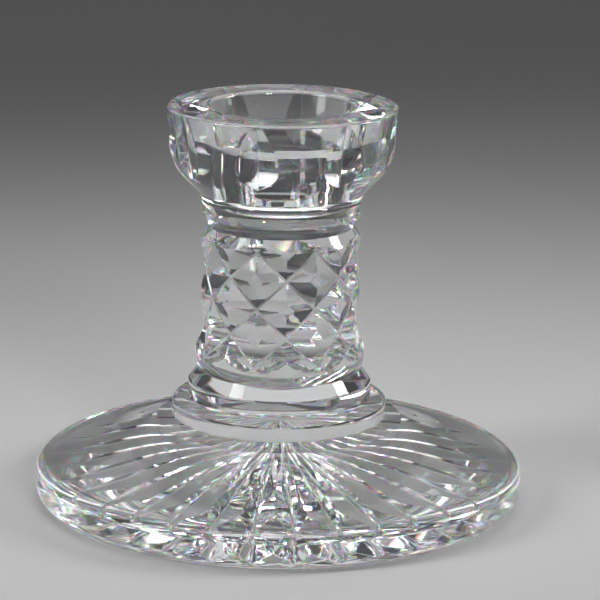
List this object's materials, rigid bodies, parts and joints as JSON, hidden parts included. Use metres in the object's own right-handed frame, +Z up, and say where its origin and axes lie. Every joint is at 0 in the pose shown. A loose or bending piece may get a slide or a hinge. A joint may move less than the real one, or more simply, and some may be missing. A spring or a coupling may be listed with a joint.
{
  "type": "glass candlestick",
  "caption": "Short clear cut-glass candlestick: flared cup with a round candle socket, diamond-cut column, stepped rings and a broad star-cut foot.",
  "frame": {"origin": "middle of the foot's underside, on the surface that the candlestick stands on", "axes": "+Z up along the candlestick's axis, from the foot to the rim"},
  "size_m": [0.125, 0.125, 0.1016],
  "materials": {
    "foot_glass": "clear lead glass, polished, star cut under the foot",
    "step_glass": "clear lead glass, polished",
    "column_glass": "clear lead glass, mitre cut and polished",
    "cup_glass": "clear lead glass, fire-polished rim, mitre cuts"
  },
  "bodies": {
    "root": {"foot": "foot_glass", "lower_step": "step_glass", "upper_step": "step_glass", "column": "column_glass", "neck_collar": "cup_glass", "candle_cup": "cup_glass"}
  },
  "joints": []
}
